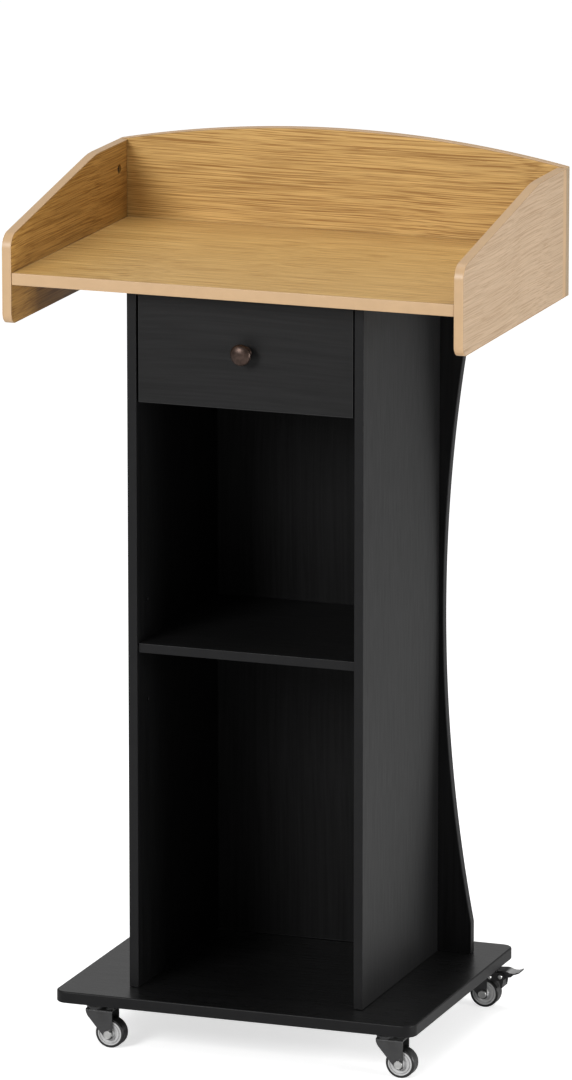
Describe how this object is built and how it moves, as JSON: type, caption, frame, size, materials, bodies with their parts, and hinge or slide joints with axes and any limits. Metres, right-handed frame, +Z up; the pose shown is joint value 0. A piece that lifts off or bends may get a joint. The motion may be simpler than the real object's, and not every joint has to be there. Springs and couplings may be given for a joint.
{
  "type": "presentation lectern",
  "caption": "Mobile lectern: an oak-faced desk with side wings and an arched back board on a black open cabinet with a drawer, a shelf and swivel casters with foot brakes.",
  "frame": {"origin": "on the floor under the middle of the whole lectern", "axes": "+Z up, +X to the right of a speaker standing behind the lectern, +Y from the speaker towards the audience"},
  "size_m": [0.6, 0.412, 1.118],
  "materials": {
    "oak_laminate": "wood-grain laminate on board with a paler edge band, satin",
    "black_laminate": "black wood-grain laminate on board, satin",
    "drawer_box_board": "dark foil-wrapped board, matt",
    "bronze_knob": "dark bronze, satin",
    "zinc_steel": "zinc plated",
    "white_runner_steel": "powder coated, satin",
    "white_nylon": "moulded nylon",
    "dark_fork_paint": "dark plated pressed steel, satin",
    "pedal_steel": "dark plated pressed steel, semi-gloss",
    "grey_wheel_plastic": "light grey moulded plastic",
    "black_tyre_rubber": "black rubber tread"
  },
  "bodies": {
    "cabinet": {"back_board": "oak_laminate", "base_board": "black_laminate", "cabinet_runner_left": "white_runner_steel", "cabinet_runner_right": "white_runner_steel", "desktop": "oak_laminate", "front_left_caster_plate": "zinc_steel", "front_left_kingpin": "zinc_steel", "front_right_caster_plate": "zinc_steel", "front_right_kingpin": "zinc_steel", "left_side_panel": "black_laminate", "left_wing": "oak_laminate", "left_wing_cam_lock": "zinc_steel", "rear_left_caster_plate": "zinc_steel", "rear_left_kingpin": "zinc_steel", "rear_panel": "black_laminate", "rear_right_caster_plate": "zinc_steel", "rear_right_kingpin": "zinc_steel", "right_side_panel": "black_laminate", "right_wing": "oak_laminate", "right_wing_cam_lock": "zinc_steel", "shelf": "black_laminate", "shelf_pin_front_left": "zinc_steel", "shelf_pin_front_right": "zinc_steel", "shelf_pin_rear_left": "zinc_steel", "shelf_pin_rear_right": "zinc_steel"},
    "drawer": {"drawer_front": "black_laminate", "drawer_left_side": "drawer_box_board", "drawer_right_side": "drawer_box_board", "drawer_back": "drawer_box_board", "drawer_bottom": "drawer_box_board", "drawer_knob": "bronze_knob", "knob_screw": "zinc_steel", "drawer_runner_left": "white_runner_steel", "drawer_runner_right": "white_runner_steel"},
    "cabinet_roller_left": {"cabinet_roller_left": "white_nylon"},
    "cabinet_roller_right": {"cabinet_roller_right": "white_nylon"},
    "drawer_roller_left": {"drawer_roller_left": "white_nylon"},
    "drawer_roller_right": {"drawer_roller_right": "white_nylon"},
    "front_left_fork": {"front_left_fork": "dark_fork_paint", "front_left_axle": "zinc_steel"},
    "front_left_wheel": {"front_left_wheel_hub": "grey_wheel_plastic", "front_left_tyre": "black_tyre_rubber"},
    "front_right_fork": {"front_right_fork": "dark_fork_paint", "front_right_axle": "zinc_steel"},
    "front_right_wheel": {"front_right_wheel_hub": "grey_wheel_plastic", "front_right_tyre": "black_tyre_rubber"},
    "rear_left_fork": {"rear_left_fork": "dark_fork_paint", "rear_left_axle": "zinc_steel", "rear_left_brake_bracket": "dark_fork_paint", "rear_left_pedal_pin": "zinc_steel"},
    "rear_left_wheel": {"rear_left_wheel_hub": "grey_wheel_plastic", "rear_left_tyre": "black_tyre_rubber"},
    "rear_left_pedal": {"rear_left_brake_pedal": "pedal_steel"},
    "rear_right_fork": {"rear_right_fork": "dark_fork_paint", "rear_right_axle": "zinc_steel", "rear_right_brake_bracket": "dark_fork_paint", "rear_right_pedal_pin": "zinc_steel"},
    "rear_right_wheel": {"rear_right_wheel_hub": "grey_wheel_plastic", "rear_right_tyre": "black_tyre_rubber"},
    "rear_right_pedal": {"rear_right_brake_pedal": "pedal_steel"}
  },
  "joints": [
    {"name": "drawer_slide", "type": "slide", "parent": "cabinet", "child": "drawer", "axis": [0, -1, 0], "range_m": [0, 0.2]},
    {"name": "cabinet_roller_left_spin", "type": "hinge", "parent": "cabinet", "child": "cabinet_roller_left", "pos_m": [-0.1368, -0.125, 0.8538], "axis": [1, 0, 0], "continuous": true},
    {"name": "cabinet_roller_right_spin", "type": "hinge", "parent": "cabinet", "child": "cabinet_roller_right", "pos_m": [0.1368, -0.125, 0.8538], "axis": [1, 0, 0], "continuous": true},
    {"name": "drawer_roller_left_spin", "type": "hinge", "parent": "drawer", "child": "drawer_roller_left", "pos_m": [-0.1365, 0.093, 0.8538], "axis": [1, 0, 0], "continuous": true},
    {"name": "drawer_roller_right_spin", "type": "hinge", "parent": "drawer", "child": "drawer_roller_right", "pos_m": [0.1365, 0.093, 0.8538], "axis": [1, 0, 0], "continuous": true},
    {"name": "front_left_swivel", "type": "hinge", "parent": "cabinet", "child": "front_left_fork", "pos_m": [-0.193, -0.1709, 0.05], "axis": [0, 0, 1], "continuous": true},
    {"name": "front_left_wheel_spin", "type": "hinge", "parent": "front_left_fork", "child": "front_left_wheel", "pos_m": [-0.173, -0.1709, 0.019], "axis": [0, 1, 0], "continuous": true},
    {"name": "front_right_swivel", "type": "hinge", "parent": "cabinet", "child": "front_right_fork", "pos_m": [0.193, -0.1709, 0.05], "axis": [0, 0, 1], "continuous": true},
    {"name": "front_right_wheel_spin", "type": "hinge", "parent": "front_right_fork", "child": "front_right_wheel", "pos_m": [0.213, -0.1709, 0.019], "axis": [0, 1, 0], "continuous": true},
    {"name": "rear_left_swivel", "type": "hinge", "parent": "cabinet", "child": "rear_left_fork", "pos_m": [-0.1905, 0.1625, 0.05], "axis": [0, 0, 1], "continuous": true},
    {"name": "rear_left_wheel_spin", "type": "hinge", "parent": "rear_left_fork", "child": "rear_left_wheel", "pos_m": [-0.1705, 0.1625, 0.019], "axis": [0, 1, 0], "continuous": true},
    {"name": "rear_right_swivel", "type": "hinge", "parent": "cabinet", "child": "rear_right_fork", "pos_m": [0.1905, 0.1625, 0.05], "axis": [0, 0, 1], "continuous": true},
    {"name": "rear_right_wheel_spin", "type": "hinge", "parent": "rear_right_fork", "child": "rear_right_wheel", "pos_m": [0.2105, 0.1625, 0.019], "axis": [0, 1, 0], "continuous": true},
    {"name": "rear_left_brake", "type": "hinge", "parent": "rear_left_fork", "child": "rear_left_pedal", "pos_m": [-0.147, 0.1625, 0.044], "axis": [0, 1, 0], "range_deg": [0, 22]},
    {"name": "rear_right_brake", "type": "hinge", "parent": "rear_right_fork", "child": "rear_right_pedal", "pos_m": [0.234, 0.1625, 0.044], "axis": [0, 1, 0], "range_deg": [0, 22]}
  ],
  "couplings": [
    {"joint": "cabinet_roller_left_spin", "follows": "drawer_slide", "rad_per_m": 117.65},
    {"joint": "cabinet_roller_right_spin", "follows": "drawer_slide", "rad_per_m": 117.65},
    {"joint": "drawer_roller_left_spin", "follows": "drawer_slide", "rad_per_m": 117.65},
    {"joint": "drawer_roller_right_spin", "follows": "drawer_slide", "rad_per_m": 117.65}
  ]
}
